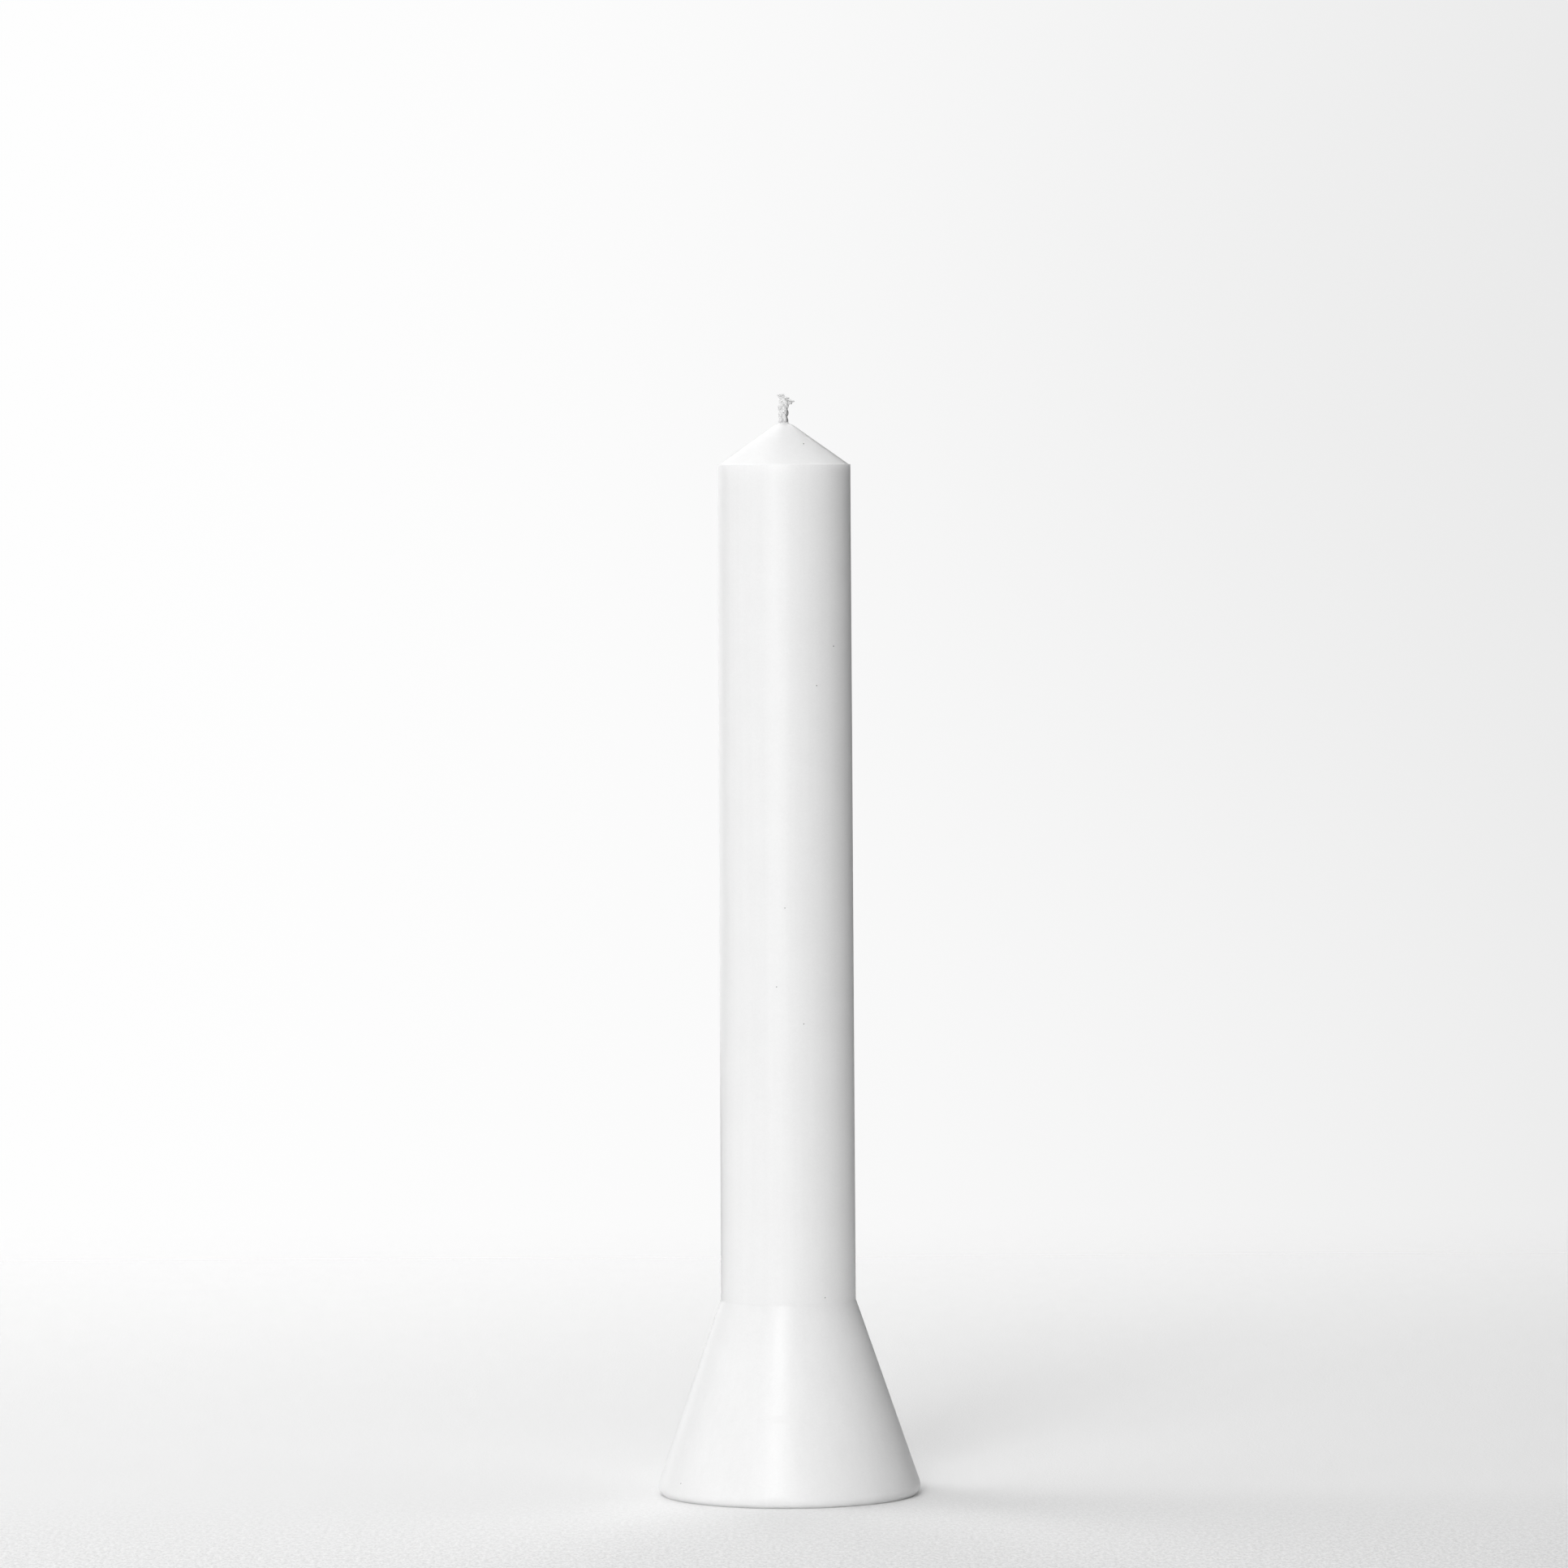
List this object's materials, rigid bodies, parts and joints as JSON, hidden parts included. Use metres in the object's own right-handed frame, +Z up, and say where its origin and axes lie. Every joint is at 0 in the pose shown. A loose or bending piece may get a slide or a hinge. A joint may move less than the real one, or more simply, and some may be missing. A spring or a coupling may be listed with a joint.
{
  "type": "foot candle",
  "caption": "Tall cast wax candle with a flared conical foot, a conical tip in a narrow ledge and a plaited cotton wick whose free end bends.",
  "frame": {"origin": "centre of the flat face that the candle stands on", "axes": "+Z up along the candle's axis, from the foot to the wick; +X the way the wick's frayed end turns; the flat sides of the plait face -Y and +Y"},
  "size_m": [0.0778, 0.0778, 0.3266],
  "materials": {
    "wax": "satin",
    "cotton": "matte"
  },
  "bodies": {
    "candle": {"wax_body": "wax", "wick_core": "cotton"},
    "wick_end": {"wick_strand_1": "cotton", "wick_strand_2": "cotton", "wick_strand_3": "cotton"}
  },
  "joints": [
    {"name": "wick_bend", "type": "hinge", "parent": "candle", "child": "wick_end", "pos_m": [0, 0, 0.31949], "axis": [0, 1, 0], "range_deg": [-75, 75]}
  ]
}
